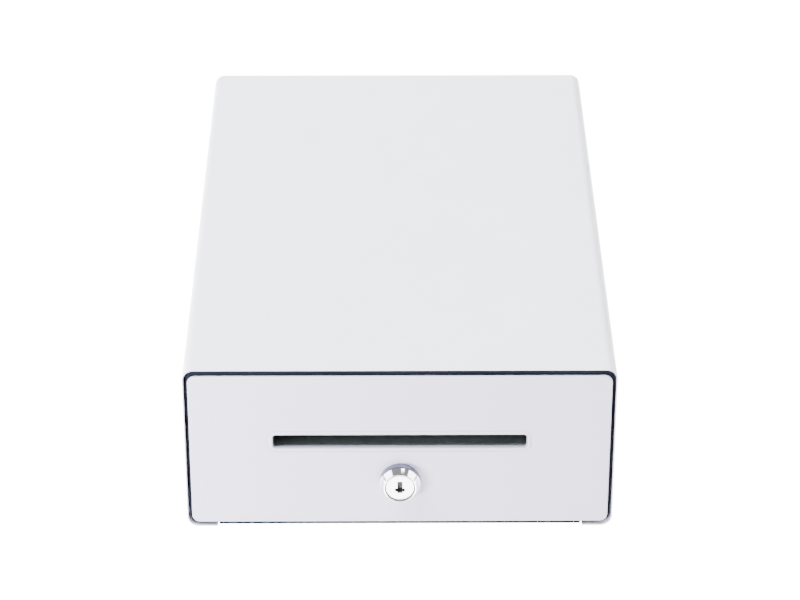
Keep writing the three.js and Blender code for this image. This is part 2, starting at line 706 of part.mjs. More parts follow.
// A spring-loaded arm: hub on the pin, straight arm, round heel on the notes. Local origin on the pin.
function billClip() {
  const drop = CLIP_Z - TILL_FLOOR - 4;
  const reach = Math.sqrt(CLIP_REACH ** 2 - drop ** 2);
  const slope = Math.atan2(drop, reach);
  const [dy, dz] = [1.2 * Math.sin(slope), 1.2 * Math.cos(slope)];
  const arm = polygon([
    [-dy, dz], [dy, -dz], [dy - reach, -dz - drop], [-dy - reach, dz - drop],
  ]);
  const body = union(
    rod('x', 4, -7, 7),
    alongX(arm, -6, 6),
    rod('x', 3, -17, 17).translate(0, -reach, -drop),
  );
  return carve(body, rod('x', 1.8, -8, 8, 12));
}

function coinCup() {
  const width = cupWidth();
  const length = COIN_BAY_END - TILL_FRONT - TILL_WALL - 1;
  const height = TILL_TOP - TILL_FLOOR - GAP - 2;
  const wall = 1.6;
  const radius = 26;
  const scoop = new THREE.Shape();
  scoop.moveTo(length - wall, height + 1);
  scoop.lineTo(wall, height + 1);
  scoop.lineTo(wall, wall + radius);
  scoop.absarc(wall + radius, wall + radius, radius, Math.PI, 1.5 * Math.PI, false);
  scoop.lineTo(length - wall - 4, wall);
  scoop.absarc(length - wall - 4, wall + 4, 4, -Math.PI / 2, 0, false);
  const block = toSolid(box(-width / 2, width / 2, 0, length, 0, height));
  return carve(block, alongX(scoop, wall - width / 2, width / 2 - wall));
}

function cupWidth() {
  const inner = 2 * (TILL_HALF - TILL_WALL);
  return (inner - 0.5 * (CUP_COUNT + 1)) / CUP_COUNT;
}

// The coil's lead, clipped from the solenoid up to the rear socket.
function coilLead() {
  const path = new THREE.CatmullRomCurve3([
    new THREE.Vector3(-54, PLUNGER_Y + 10.4, SOLENOID_Z + 4),
    new THREE.Vector3(-54, PLUNGER_Y + 16, SOLENOID_Z + 5),
    new THREE.Vector3(-56, PLUNGER_Y + 24, SOLENOID_Z + 14),
    new THREE.Vector3(-59, PLUNGER_Y + 32, SOCKET_Z - 8),
    new THREE.Vector3(SOCKET_X, PLUNGER_Y + 38, SOCKET_Z - 1),
    new THREE.Vector3(SOCKET_X, REAR_PANEL_FACE - 12.5, SOCKET_Z),
  ]);
  return sweep(path, 1.6, 6, 18);
}

// ---------------------------------------------------------------- assembly
place('housing_shell', housingShell(), 'white_steel');
place('base_plate', basePlate(), 'zinc');
place('rear_panel', rearPanel(), 'white_steel');
place('signal_socket', signalSocket(), 'black_plastic', [SOCKET_X, REAR_PANEL_FACE, SOCKET_Z]);
for (const [sideName, side] of SIDES) {
  const x = side * (WIDTH / 2 - FLANGE_WIDTH + 5.5);
  place(`foot_front_${sideName}`, foot(), 'rubber', [x, FRONT + 30, 0]);
  place(`foot_rear_${sideName}`, foot(), 'rubber', [x, REAR - 30, 0]);
  place(`rail_outer_${sideName}`, railOuter(side), 'zinc');
  place(`rail_inner_${sideName}`, railInner(side), 'zinc');
  place(`ball_cage_${sideName}`, ballCage(side), 'bright_steel');
}

place('drawer_tray', drawerTray(), 'dark_steel');
place('front_panel', frontPanel(), 'white_steel');
place('panel_backing', panelBacking(), 'slate_plastic');
place('slip_chute', slipChute(), 'slate_plastic');
panelScrewPlaces().forEach(([x, z], i) => {
  place(`panel_screw_${i + 1}`, panelScrew(), 'zinc', [x, 0, z]);
});
place('striker_bracket', strikerBracket(), 'zinc');
place('striker_pin', strikerPin(), 'bright_steel', [0, STRIKER_Y, 0]);

place('lock_body', lockBody(), 'chrome', [0, FRONT, LOCK_Z]);
place('lock_nut', lockNut(), 'zinc', [0, FRONT, LOCK_Z]);
place('lock_plug', lockPlug(), 'bright_steel', [0, FRONT, LOCK_Z]);
place('lock_cam', lockCam(), 'zinc', [0, FRONT, LOCK_Z]);
place('cam_screw', camScrew(), 'bright_steel', [0, FRONT, LOCK_Z]);
place('release_lever', releaseLever(), 'zinc');
place('lever_pivot', leverPivot(), 'bright_steel');

place('latch_bracket', latchBracket(), 'zinc');
place('latch_pin', latchPin(), 'bright_steel', [HOOK_PIVOT.x, HOOK_PIVOT.y, 0]);
place('latch_hook', latchHook(), 'bright_steel', [HOOK_PIVOT.x, HOOK_PIVOT.y, 0]);
place('solenoid_frame', solenoidFrame(), 'zinc');
const coilMiddle = (COIL_FRONT_X + COIL_REAR_X) / 2;
place('solenoid_coil', solenoidCoil(), 'copper_tape', [coilMiddle, PLUNGER_Y, SOLENOID_Z]);
place('solenoid_plunger', solenoidPlunger(), 'bright_steel', [0, PLUNGER_Y, SOLENOID_Z]);
const plungerSpring = spring(6.2, 0.5, 4, 3).rotateZ(-Math.PI / 2);
place('plunger_spring', plungerSpring, 'bright_steel', [COIL_FRONT_X + 0.8, PLUNGER_Y, SOLENOID_Z]);
place('coil_lead', coilLead(), 'rubber');

place('ejector_bracket', ejectorBracket(), 'zinc');
place('ejector_plunger', ejectorPlunger(), 'black_plastic', [EJECTOR_X, 0, EJECTOR_Z]);
const ejectorSpring = spring(5, 0.7, 50, 8);
place('ejector_spring', ejectorSpring, 'bright_steel', [EJECTOR_X, TRAY_REAR + 5, EJECTOR_Z]);
place('switch_body', switchBody(), 'black_plastic');
place('switch_lever', switchLever(), 'bright_steel', [SWITCH_X - 8, TRAY_REAR + 4.2, 22]);

place('till_insert', tillInsert(), 'black_plastic');
billBays().forEach(({ middle }, i) => {
  place(`bill_clip_${i + 1}`, billClip(), 'black_plastic', [middle, CLIP_Y, CLIP_Z]);
  place(`clip_pin_${i + 1}`, rod('x', 1.5, -11.5, 11.5, 12), 'bright_steel', [middle, CLIP_Y, CLIP_Z]);
});
for (let i = 0; i < CUP_COUNT; i += 1) {
  const x = TILL_WALL - TILL_HALF + 0.5 + cupWidth() / 2 + i * (cupWidth() + 0.5);
  place(`coin_cup_${i + 1}`, coinCup(), 'slate_plastic', [x, TILL_FRONT + TILL_WALL + 0.5, TILL_FLOOR + GAP]);
}

export default drawerUnit;
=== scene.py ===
import json
import math

import bmesh
import bpy
from mathutils import Euler, Matrix, Vector


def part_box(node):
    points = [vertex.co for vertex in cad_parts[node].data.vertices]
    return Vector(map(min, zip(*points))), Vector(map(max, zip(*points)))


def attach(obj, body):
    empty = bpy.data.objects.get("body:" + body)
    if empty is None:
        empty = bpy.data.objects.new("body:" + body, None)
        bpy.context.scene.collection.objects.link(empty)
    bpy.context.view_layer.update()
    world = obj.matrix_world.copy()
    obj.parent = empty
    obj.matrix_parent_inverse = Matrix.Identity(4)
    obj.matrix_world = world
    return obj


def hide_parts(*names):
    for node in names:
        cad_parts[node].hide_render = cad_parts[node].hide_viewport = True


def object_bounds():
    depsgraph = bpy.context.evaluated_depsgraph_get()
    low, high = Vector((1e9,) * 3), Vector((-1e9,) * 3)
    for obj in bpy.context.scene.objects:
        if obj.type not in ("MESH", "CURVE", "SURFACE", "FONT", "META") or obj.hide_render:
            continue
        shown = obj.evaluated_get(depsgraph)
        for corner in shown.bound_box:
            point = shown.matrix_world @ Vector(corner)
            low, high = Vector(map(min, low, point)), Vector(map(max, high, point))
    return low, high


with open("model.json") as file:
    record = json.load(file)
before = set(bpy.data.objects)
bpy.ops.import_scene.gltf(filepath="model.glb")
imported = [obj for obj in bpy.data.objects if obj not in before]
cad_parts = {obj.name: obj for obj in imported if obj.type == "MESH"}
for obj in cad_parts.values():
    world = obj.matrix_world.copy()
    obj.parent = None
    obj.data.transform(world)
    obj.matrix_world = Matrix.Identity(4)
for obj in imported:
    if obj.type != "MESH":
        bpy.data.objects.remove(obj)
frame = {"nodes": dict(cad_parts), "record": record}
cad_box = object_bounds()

MM = 0.001
NODES = frame["nodes"]
QUARTER = math.pi / 2
ON_AXIS = 1e-7
SAME_PLACE = 1e-9

# ---------------------------------------------------------------- places taken from the frame
SHELL_LOW, SHELL_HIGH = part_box("housing_shell")
PANEL_LOW, PANEL_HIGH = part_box("front_panel")
LOCK_LOW, LOCK_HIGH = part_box("lock_body")
PLUG_LOW, PLUG_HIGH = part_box("lock_plug")
REAR_LOW, REAR_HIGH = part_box("rear_panel")
FRONT = SHELL_LOW.y
REAR = SHELL_HIGH.y
LOCK_X = (LOCK_LOW.x + LOCK_HIGH.x) / 2
LOCK_Z = (LOCK_LOW.z + LOCK_HIGH.z) / 2

# ---------------------------------------------------------------- sizes of the fine shapes
SHELL_SHEET = 0.55 * MM
SHELL_RADIUS = 6.5 * MM
SHELL_EDGE = 0.2 * MM
FLANGE = 17 * MM

PANEL_BACK = FRONT + 1.6 * MM
PANEL_RADIUS = 4.5 * MM
PANEL_EDGE = 0.6 * MM
SLOT_HALF = 70.6 * MM
SLOT_HALF_HEIGHT = 3.8 * MM
SLOT_Z = SHELL_LOW.z + 56.5 * MM
SLOT_CORNER = 1.4 * MM
SLOT_ROLL = 1.1 * MM
SLOT_DEPTH = 2.5 * MM
COLLAR_WALL = 1.2 * MM
LIP_SHADE_DEPTH = 0.08 * MM
GROOVE = SLOT_ROLL + 1.7 * MM
GROOVE_HALF = 0.4 * MM
GROOVE_DEPTH = 0.45 * MM
LOCK_HOLE = 9.6 * MM

BARREL = 9.3 * MM
BEZEL_SEAT = FRONT - 0.25 * MM
PAINTED_SHADE_START = 4.15 * MM
PLUG_GAP = 0.3 * MM
RING_DEPTH = (0.3 * MM, 0.62 * MM)
RING_INSET = (0.5 * MM, 0.04 * MM)
RECESS_RADIUS = 3.05 * MM
RECESS_DEPTH = 0.4 * MM
KEYWAY_HALF = 1.45 * MM
KEYWAY_BELOW = 3.4 * MM
KEYWAY_ABOVE = 4.2 * MM
KEYWAY_DEPTH = 4 * MM
LOBE_RADIUS = 0.95 * MM
LOBE_OFFSET = 1.95 * MM
LOBE_DROP = 1.5 * MM
LOBE_DEPTH = 2.2 * MM
TAIL_RADIUS = 2.2 * MM
TAIL_DEPTH = 8 * MM
KEYWAY_REACH = 4.4 * MM
KEYWAY_START = 0.6 * MM

REAR_RADIUS = 5.7 * MM
REAR_EDGE = 0.25 * MM
REAR_SCREW_INSET = 12 * MM
SOCKET_GAP = 0.3 * MM
SOCKET_CORNER = 0.8 * MM
REAR_SCREW_RADIUS = 3.1 * MM
BASE_SCREW_RADIUS = 2.6 * MM
BASE_SCREW_INSET = 5.5 * MM
BASE_SCREW_SHARES = (0.22, 0.5, 0.78)
CROSS_HALF_WIDTH = 0.32 * MM
CROSS_HALF_DEPTH = 0.95 * MM
CROSS_SHARE = 0.58

# ---------------------------------------------------------------- camera and studio
LENS = 132.46
CAMERA_PLACE = (-0.00602, FRONT - 1.38240, SHELL_LOW.z + 0.94150)
CAMERA_TILT = 0.52140
CAMERA_ROLL = -0.0044
LIGHTS = (  # name, place, target, size, watts, shown in reflections
    ("key", (-1.3, -0.5, 2.3), (0, 0, 0), (1.6, 1.6), 350, False),
    ("front_left", (-0.42, -0.62, 0.06), (0, FRONT, 0.04), (0.2, 0.1), 8, False),
    ("rear_fill", (0.5, 2.2, 1.4), (0, 0, 0.05), (2.0, 1.2), 80, True),
)
CARDS = (  # corner, edge across, edge up
    ((0.13, -0.4, 1.03), (0.27, 0, 0), (0, 0.6, 0)),
    ((0.93, -0.5, 1.03), (1.0, 0, -0.75), (0, 0.7, 0)),
    ((-0.84, -0.5, 1.03), (-1.0, 0, -0.75), (0, 0.7, 0)),
)
CARD_GLOW = 7
SKY_HEIGHT = (0.08, 0.45)
SKY_STRENGTH = (0.45, 0.42)
FLOOR_RADIUS = 6
FLOOR_DROP = 0.2 * MM
SEEN_FLOOR = (0.9, 16)
BOUNCE_FLOOR = (0.32, 0.2)


# ---------------------------------------------------------------- materials
def map_range(tree, value, numbers):
    """A linear map of a value, from a low and a high number to two others."""
    node = tree.nodes.new("ShaderNodeMapRange")
    for socket, number in zip(("From Min", "From Max", "To Min", "To Max"), numbers):
        node.inputs[socket].default_value = number
    tree.links.new(value, node.inputs["Value"])
    return node.outputs["Result"]


class Finish:
    """A node material built step by step round one Principled shader."""

    def __init__(self, name, colour, roughness, metallic=0.0, **sockets):
        self.material = bpy.data.materials.new(name)
        self.material.use_nodes = True
        self.tree = self.material.node_tree
        self.shader = self.tree.nodes["Principled BSDF"]
        self.colour = colour
        self.put("Base Color", (*colour, 1))
        self.put("Roughness", roughness)
        self.put("Metallic", metallic)
        for socket, value in sockets.items():
            self.put(socket.replace("_", " "), value)
        self.place = self.tree.nodes.new("ShaderNodeTexCoord").outputs["Object"]

    def put(self, socket, value):
        self.shader.inputs[socket].default_value = value

    def link(self, output, target):
        self.tree.links.new(output, target)

    def stretched(self, scale):
        mapping = self.tree.nodes.new("ShaderNodeMapping")
        mapping.inputs["Scale"].default_value = scale
        self.link(self.place, mapping.inputs["Vector"])
        return mapping.outputs["Vector"]

    def noise(self, scale, detail=3.0, stretch=None):
        node = self.tree.nodes.new("ShaderNodeTexNoise")
        node.inputs["Scale"].default_value = scale
        node.inputs["Detail"].default_value = detail
        self.link(self.stretched(stretch) if stretch else self.place, node.inputs["Vector"])
        return node.outputs["Fac"]

    def ramp(self, value, low, high, dark, light):
        return map_range(self.tree, value, (low, high, dark, light))

    def vary_colour(self, value, other):
        node = self.tree.nodes.new("ShaderNodeMix")
        node.data_type = "RGBA"
        self.link(self.ramp(value, 0.35, 0.65, 0, 1), node.inputs["Factor"])
        node.inputs["A"].default_value = (*self.colour, 1)
        node.inputs["B"].default_value = (*other, 1)
        self.link(node.outputs["Result"], self.shader.inputs["Base Color"])

    def vary_roughness(self, value, smooth, rough):
        self.link(self.ramp(value, 0.3, 0.7, smooth, rough), self.shader.inputs["Roughness"])

    def bump(self, value, depth, strength):
        node = self.tree.nodes.new("ShaderNodeBump")
        node.inputs["Strength"].default_value = strength
        node.inputs["Distance"].default_value = depth
        self.link(value, node.inputs["Height"])
        previous = self.shader.inputs["Normal"]
        if previous.is_linked:
            self.link(previous.links[0].from_socket, node.inputs["Normal"])
        self.link(node.outputs["Normal"], previous)


def powder_coat(name, colour, other, roughness=0.42):
    """Baked powder coat: a fine orange-peel surface over sheet steel."""
    finish = Finish(name, colour, roughness, IOR=1.5)
    finish.vary_colour(finish.noise(9, 2), other)
    finish.vary_roughness(finish.noise(60), roughness - 0.05, roughness + 0.07)
    finish.bump(finish.noise(700, 2), 0.02 * MM, 0.6)
    finish.bump(finish.noise(2600, 1), 0.008 * MM, 0.5)
    return finish.material


def zinc_plate(name, colour, other, roughness=0.36):
    """Zinc plating with faint cloudy patches and rolling lines along the sheet."""
    finish = Finish(name, colour, roughness, 1.0)
    finish.vary_colour(finish.noise(45, 4), other)
    finish.vary_roughness(finish.noise(160), roughness - 0.08, roughness + 0.1)
    finish.bump(finish.noise(60, 3, (30, 1, 30)), 0.012 * MM, 0.5)
    return finish.material


def bright_steel(name, colour=(0.66, 0.67, 0.68), roughness=0.24):
    finish = Finish(name, colour, roughness, 1.0)
    finish.vary_colour(finish.noise(90), tuple(c * 0.9 for c in colour))
    finish.vary_roughness(finish.noise(400), roughness - 0.05, roughness + 0.08)
    finish.bump(finish.noise(900, 2), 0.004 * MM, 0.4)
    return finish.material


def chrome():
    finish = Finish("polished_chrome", (0.86, 0.865, 0.87), 0.07, 1.0)
    finish.vary_colour(finish.noise(120), (0.81, 0.82, 0.83))
    finish.vary_roughness(finish.noise(500), 0.05, 0.1)
    return finish.material


def moulded_plastic(name, colour, other, roughness=0.5, grain=1500, specular=0.5):
    """Injection-moulded plastic with a fine spark-eroded grain."""
    finish = Finish(name, colour, roughness, IOR=1.5, Specular_IOR_Level=specular)
    finish.vary_colour(finish.noise(20), other)
    finish.vary_roughness(finish.noise(120), roughness - 0.06, roughness + 0.08)
    finish.bump(finish.noise(grain, 2), 0.02 * MM, 0.6)
    return finish.material


def rubber():
    finish = Finish("foot_rubber_black", (0.022, 0.022, 0.024), 0.8)
    finish.vary_colour(finish.noise(150), (0.04, 0.04, 0.042))
    finish.vary_roughness(finish.noise(300), 0.7, 0.9)
    finish.bump(finish.noise(1200), 0.03 * MM, 0.6)
    return finish.material


def winding_tape():
    finish = Finish("varnished_winding", (0.30, 0.075, 0.03), 0.4, IOR=1.5)
    finish.vary_colour(finish.noise(40, 2, (30, 1, 1)), (0.42, 0.14, 0.05))
    finish.bump(finish.noise(60, 1, (25, 1, 1)), 0.08 * MM, 0.7)
    return finish.material


WHITE_COAT = powder_coat("housing_powder_coat", (0.765, 0.785, 0.865), (0.78, 0.80, 0.875))
PANEL_COAT = powder_coat("panel_powder_coat", (0.67, 0.655, 0.80), (0.685, 0.67, 0.81))
# a darker copy of the panel coat for the faces inside the slip slot's lip: painted shade where the slot
# keeps the light out
SLOT_LIP_PAINTED_SHADE = powder_coat("slot_lip_painted_shade_coat", (0.28, 0.275, 0.34), (0.30, 0.295, 0.36))
# dark bluish tray coat: partly the tray's own colour, partly painted shade that darkens the gaps and the
# slip slot seen in front of it
SLATE_COAT_WITH_GAP_SHADE = powder_coat("tray_slate_coat_with_gap_shade", (0.055, 0.068, 0.085), (0.066, 0.08, 0.098), 0.46)
ZINC = zinc_plate("zinc_sheet", (0.58, 0.60, 0.61), (0.68, 0.69, 0.68))
RAIL_ZINC = zinc_plate("zinc_rail", (0.62, 0.63, 0.64), (0.70, 0.71, 0.71), 0.3)
STEEL = bright_steel("bright_steel_parts")
PLUG_STEEL = bright_steel("satin_plug_face", (0.56, 0.57, 0.555), 0.24)
# bezel barrel: a darker bluish copy of the chrome, a painted reflection of the shaded panel above the lock
BARREL_PAINTED_SHADE = bright_steel("bezel_barrel_painted_shade", (0.19, 0.20, 0.27), 0.22)
# near-black ring colour: painted shade in the gap between the plug and the bezel
GAP_SHADE_RING_PAINT = moulded_plastic("gap_shade_ring_paint", (0.06, 0.065, 0.06), (0.07, 0.075, 0.07), 0.5)
KEYWAY = moulded_plastic("keyway_shadow", (0.11, 0.12, 0.125), (0.125, 0.135, 0.14), 0.6)
CHROME = chrome()
BLACK = moulded_plastic("black_plastic", (0.020, 0.020, 0.023), (0.028, 0.028, 0.031))
TILL_BLACK = moulded_plastic("till_plastic_black", (0.024, 0.024, 0.027), (0.033, 0.033, 0.037), 0.52, 900)
CUP_GREY = moulded_plastic("cup_plastic_grey", (0.045, 0.048, 0.055), (0.058, 0.061, 0.068), 0.48, 1100)
# near-black slate plastic with no gloss: partly the backing's own dark colour, partly painted shade that
# darkens the gaps round the front panel
SLATE_WITH_GAP_SHADE = moulded_plastic("slate_plastic", (0.013, 0.014, 0.024), (0.016, 0.018, 0.029), 0.7, specular=0)
CHUTE_SLATE = moulded_plastic("chute_plastic_slate", (0.19, 0.21, 0.215), (0.205, 0.225, 0.23), 0.55)
RUBBER = rubber()
LEAD = moulded_plastic("lead_sleeve", (0.02, 0.02, 0.022), (0.03, 0.03, 0.034), 0.62, 2000)
WINDING = winding_tape()

SLOT_MATERIALS = {
    "housing_white": WHITE_COAT, "panel_white": PANEL_COAT, "tray_slate": SLATE_COAT_WITH_GAP_SHADE,
    "zinc_plate": ZINC, "rail_zinc": RAIL_ZINC, "bright_steel": STEEL, "lock_chrome": CHROME,
    "plug_steel": PLUG_STEEL, "black_plastic": BLACK, "slate_plastic": SLATE_WITH_GAP_SHADE,
    "till_plastic": TILL_BLACK, "cup_plastic": CUP_GREY, "clip_plastic": BLACK,
    "foot_rubber": RUBBER, "lead_rubber": LEAD, "coil_tape": WINDING,
}


# ---------------------------------------------------------------- mesh building
def finish_mesh(mesh, material, smooth):
    mesh.materials.clear()
    mesh.materials.append(material)
    mesh.polygons.foreach_set("use_smooth", [True] * len(mesh.polygons))
    mesh.set_sharp_from_angle(angle=math.radians(smooth))


def piece(name, source, body, slot, smooth=32, material=None):
    """Turns a bmesh or mesh into a piece that rides on a body."""
    mesh = source
    if isinstance(source, bmesh.types.BMesh):
        bmesh.ops.recalc_face_normals(source, faces=source.faces)
        mesh = bpy.data.meshes.new(name)
        source.to_mesh(mesh)
        source.free()
    finish_mesh(mesh, material or SLOT_MATERIALS[slot], smooth)
    thing = bpy.data.objects.new(name, mesh)
    bpy.context.scene.collection.objects.link(thing)
    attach(thing, body)
    return thing


def arc(centre, radius, start, end, steps):
    """Points on an arc, in the plane's two coordinates, angles in quarter turns."""
    points = []
    for i in range(steps + 1):
        angle = (start + (end - start) * i / steps) * QUARTER
        points.append((centre[0] + radius * math.cos(angle), centre[1] + radius * math.sin(angle)))
    return points


def rounded_loop(a0, a1, b0, b1, radius, steps=10):
    corners = (((a1 - radius, b0 + radius), -1), ((a1 - radius, b1 - radius), 0),
               ((a0 + radius, b1 - radius), 1), ((a0 + radius, b0 + radius), 2))
    return [p for centre, start in corners for p in arc(centre, radius, start, start + 1, steps)]


def circle_loop(a, b, radius, steps=64):
    return arc((a, b), radius, 0, 4, steps)[:-1]


def prism(profile, y0, y1, edge, segments):
    """A closed (x, z) profile run along Y, with its two end rims rounded."""
    shape = bmesh.new()
    verts = [shape.verts.new((x, y0, z)) for x, z in profile]
    cap = shape.faces.new(verts)
    run = bmesh.ops.extrude_face_region(shape, geom=[cap])
    moved = [v for v in run["geom"] if isinstance(v, bmesh.types.BMVert)]
    bmesh.ops.translate(shape, verts=moved, vec=(0, y1 - y0, 0))
    rims = [e for e in shape.edges if abs(e.verts[0].co.y - e.verts[1].co.y) < SAME_PLACE]
    bmesh.ops.bevel(shape, geom=rims, offset=edge, segments=segments, profile=0.5, affect="EDGES")
    return shape


def plate_mesh(name, loops, y0, y1, edge):
    """A plate facing -Y from an (x, z) outline and its holes, with every edge rounded."""
    curve = bpy.data.curves.new(name, "CURVE")
    curve.dimensions = "2D"
    curve.fill_mode = "BOTH"
    curve.extrude = (y1 - y0) / 2 - edge
    curve.bevel_depth = edge
    curve.bevel_resolution = 3
    curve.offset = -edge
    for number, loop in enumerate(loops):
        points = loop if number == 0 else loop[::-1]
        spline = curve.splines.new("POLY")
        spline.points.add(len(points) - 1)
        for point, (a, b) in zip(spline.points, points):
            point.co = (a, b, 0, 1)
        spline.use_cyclic_u = True
    holder = bpy.data.objects.new(name, curve)
    bpy.context.scene.collection.objects.link(holder)
    mesh = bpy.data.meshes.new_from_object(holder.evaluated_get(bpy.context.evaluated_depsgraph_get()))
    bpy.data.objects.remove(holder)
    mesh.transform(Matrix.Translation((0, (y0 + y1) / 2, 0)) @ Matrix.Rotation(QUARTER, 4, "X"))
    return mesh


def pressed_plate(edges):
    """A plate facing -Y. Each edge is a loop maker, called with an offset, and its (offset, y) profile."""
    shape = bmesh.new()
    ends = ([], [])
    for loop, profile in edges:
        rings = [[shape.verts.new((a, y, b)) for a, b in loop(offset)] for offset, y in profile]
        for low, high in zip(rings, rings[1:]):
            for i in range(len(low)):
                j = (i + 1) % len(low)
                shape.faces.new((low[i], low[j], high[j], high[i]))
        for rim, ring in zip(ends, (rings[0], rings[-1])):
            for i, vert in enumerate(ring):
                rim.append(shape.edges.get((vert, ring[(i + 1) % len(ring)])))
    for rim in ends:
        bmesh.ops.triangle_fill(shape, edges=rim, use_beauty=True)
    return shape


def rolled(offset, y, radius):
    """Profile points of a face edge that rolls back from offset + radius to offset."""
    return [(offset + radius - a, y + radius - b)
            for a, b in reversed(arc((0, 0), radius, 0, 1, 5))]


def lathe(profile, centre, axis, steps):
    """A closed or axis-to-axis profile of (radius, along) points turned about the y or z axis."""
    shape = bmesh.new()
    rings = []
    for radius, along in profile:
        if radius < ON_AXIS:
            rings.append([shape.verts.new((0, along, 0))] * steps)
            continue
        turn = [2 * math.pi * i / steps for i in range(steps)]
        rings.append([shape.verts.new((radius * math.cos(a), along, radius * math.sin(a))) for a in turn])
    pairs = list(zip(rings, rings[1:]))
    if profile[0][0] > ON_AXIS:
        pairs.append((rings[-1], rings[0]))
    for low, high in pairs:
        for i in range(steps):
            corners = [low[i], low[(i + 1) % steps], high[(i + 1) % steps], high[i]]
            unique = list(dict.fromkeys(corners))
            if len(unique) > 2:
                shape.faces.new(unique)
    turns = {"y": Matrix.Identity(4), "z": Matrix.Rotation(QUARTER, 4, "X")}
    bmesh.ops.transform(shape, matrix=Matrix.Translation(centre) @ turns[axis], verts=shape.verts)
    return shape


def carved(target, cutters):
    """Cuts the meshes of the cutters out of the target object and removes the cutters."""
    for tool in cutters:
        modifier = target.modifiers.new("cut", "BOOLEAN")
        modifier.operation = "DIFFERENCE"
        modifier.solver = "EXACT"
        modifier.object = tool
    view = bpy.context.evaluated_depsgraph_get()
    mesh = bpy.data.meshes.new_from_object(target.evaluated_get(view))
    target.modifiers.clear()
    target.data = mesh
    for tool in cutters:
        bpy.data.objects.remove(tool)


def cutter(shape):
    bmesh.ops.recalc_face_normals(shape, faces=shape.faces)
    mesh = bpy.data.meshes.new("cutter")
    shape.to_mesh(mesh)
    shape.free()
    thing = bpy.data.objects.new("cutter", mesh)
    bpy.context.scene.collection.objects.link(thing)
    return thing


def box_cutter(low, high):
    shape = bmesh.new()
    size = [h - l for l, h in zip(low, high)]
    middle = [(h + l) / 2 for l, h in zip(low, high)]
    place = Matrix.Translation(middle) @ Matrix.Diagonal((*size, 1))
    bmesh.ops.create_cube(shape, size=1, matrix=place)
    return cutter(shape)


def rod_cutter(radius, low, high, centre, steps):
    """A round cutter along Y, from low to high beyond its centre."""
    return cutter(lathe([(0, low), (radius, low), (radius, high), (0, high)], centre, "y", steps))


# ---------------------------------------------------------------- camera, light and floor
def camera():
    """Just above the counter in front of the drawer, looking down at it by about 30 degrees."""
    data = bpy.data.cameras.new("camera")
    data.lens = LENS
    data.sensor_width = 36
    data.clip_start = 0.05
    thing = bpy.data.objects.new("camera", data)
    thing.location = CAMERA_PLACE
    thing.rotation_euler = Euler((QUARTER - CAMERA_TILT, 0, CAMERA_ROLL))
    bpy.context.scene.collection.objects.link(thing)
    bpy.context.scene.camera = thing


def softbox(name, place, target, size, watts, reflected):
    data = bpy.data.lights.new(name, "AREA")
    data.shape = "RECTANGLE"
    data.size, data.size_y = size
    data.energy = watts
    thing = bpy.data.objects.new(name, data)
    thing.location = place
    thing.rotation_euler = (Vector(target) - Vector(place)).to_track_quat("-Z", "Y").to_euler()
    thing.visible_glossy = reflected
    bpy.context.scene.collection.objects.link(thing)


def sky():
    """A soft grey sky, a little dimmer overhead, so that polished metal has something to show."""
    world = bpy.data.worlds.new("studio")
    world.use_nodes = True
    tree = world.node_tree
    background = tree.nodes["Background"]
    background.inputs["Color"].default_value = (0.97, 0.98, 1, 1)
    place = tree.nodes.new("ShaderNodeTexCoord")
    split = tree.nodes.new("ShaderNodeSeparateXYZ")
    tree.links.new(place.outputs["Generated"], split.inputs["Vector"])
    strength = map_range(tree, split.outputs["Z"], (*SKY_HEIGHT, *SKY_STRENGTH))
    tree.links.new(strength, background.inputs["Strength"])
    bpy.context.scene.world = world


def floor_disc(name, shade, glow):
    shape = bmesh.new()
    bmesh.ops.create_circle(shape, cap_ends=True, segments=96, radius=FLOOR_RADIUS)
    mesh = bpy.data.meshes.new(name)
    shape.to_mesh(mesh)
    shape.free()
    pale = Finish(name, (shade, shade, shade), 0.7)
    pale.vary_colour(pale.noise(2), (shade + 0.01, shade + 0.01, shade + 0.015))
    pale.put("Emission Color", (1, 1, 1, 1))
    pale.put("Emission Strength", glow)
    mesh.materials.append(pale.material)
    disc = bpy.data.objects.new(name, mesh)
    disc.location.z = cad_box[0][2] - FLOOR_DROP
    bpy.context.scene.collection.objects.link(disc)
    return disc


def card(name, corner, across, up):
    """A white reflector that only polished surfaces see."""
    shape = bmesh.new()
    corners = (corner, corner + across, corner + across + up, corner + up)
    shape.faces.new([shape.verts.new(place) for place in corners])
    mesh = bpy.data.meshes.new(name)
    shape.to_mesh(mesh)
    shape.free()
    white = Finish(name, (0.9, 0.9, 0.9), 0.9)
    white.put("Emission Color", (1, 1, 1, 1))
    white.put("Emission Strength", CARD_GLOW)
    mesh.materials.append(white.material)
    thing = bpy.data.objects.new(name, mesh)
    bpy.context.scene.collection.objects.link(thing)
    thing.visible_camera = thing.visible_diffuse = thing.visible_shadow = False


def studio():
    """Softboxes round a glowing white sweep: one disc is seen, its twin lights the object."""
    sky()
    for light in LIGHTS:
        softbox(*light)
    for number, (corner, across, up) in enumerate(CARDS):
        card(f"card_{number}", Vector(corner), Vector(across), Vector(up))
    seen = floor_disc("floor", *SEEN_FLOOR)
    seen.visible_diffuse = seen.visible_shadow = False
    bounce = floor_disc("floor_bounce", *BOUNCE_FLOOR)
    bounce.visible_camera = bounce.visible_glossy = False


# ---------------------------------------------------------------- carried-over CAD nodes
EDGE_ROUNDING = {  # mm: nodes
    0.25: ("cam_screw", "base_plate", "rail_outer_left", "rail_outer_right", "rail_inner_left",
           "rail_inner_right"),
    0.3: ("drawer_tray", "latch_pin", "solenoid_coil", "solenoid_plunger", "release_lever", "lever_pivot",
          "lock_cam", "striker_bracket", "signal_socket"),
    0.4: ("slip_chute", "latch_bracket", "latch_hook", "solenoid_frame", "ejector_bracket", "switch_body",
          "lock_nut", "striker_pin"),
    0.5: ("ejector_plunger", "bill_clip_1", "bill_clip_2", "bill_clip_3", "coin_cup_1", "coin_cup_2",
          "coin_cup_3", "coin_cup_4"),
    0.7: ("till_insert",),
}
WELD_DISTANCE = 1e-6
FLAT_ANGLE = math.radians(2)
SHARP_ANGLE = math.radians(32)


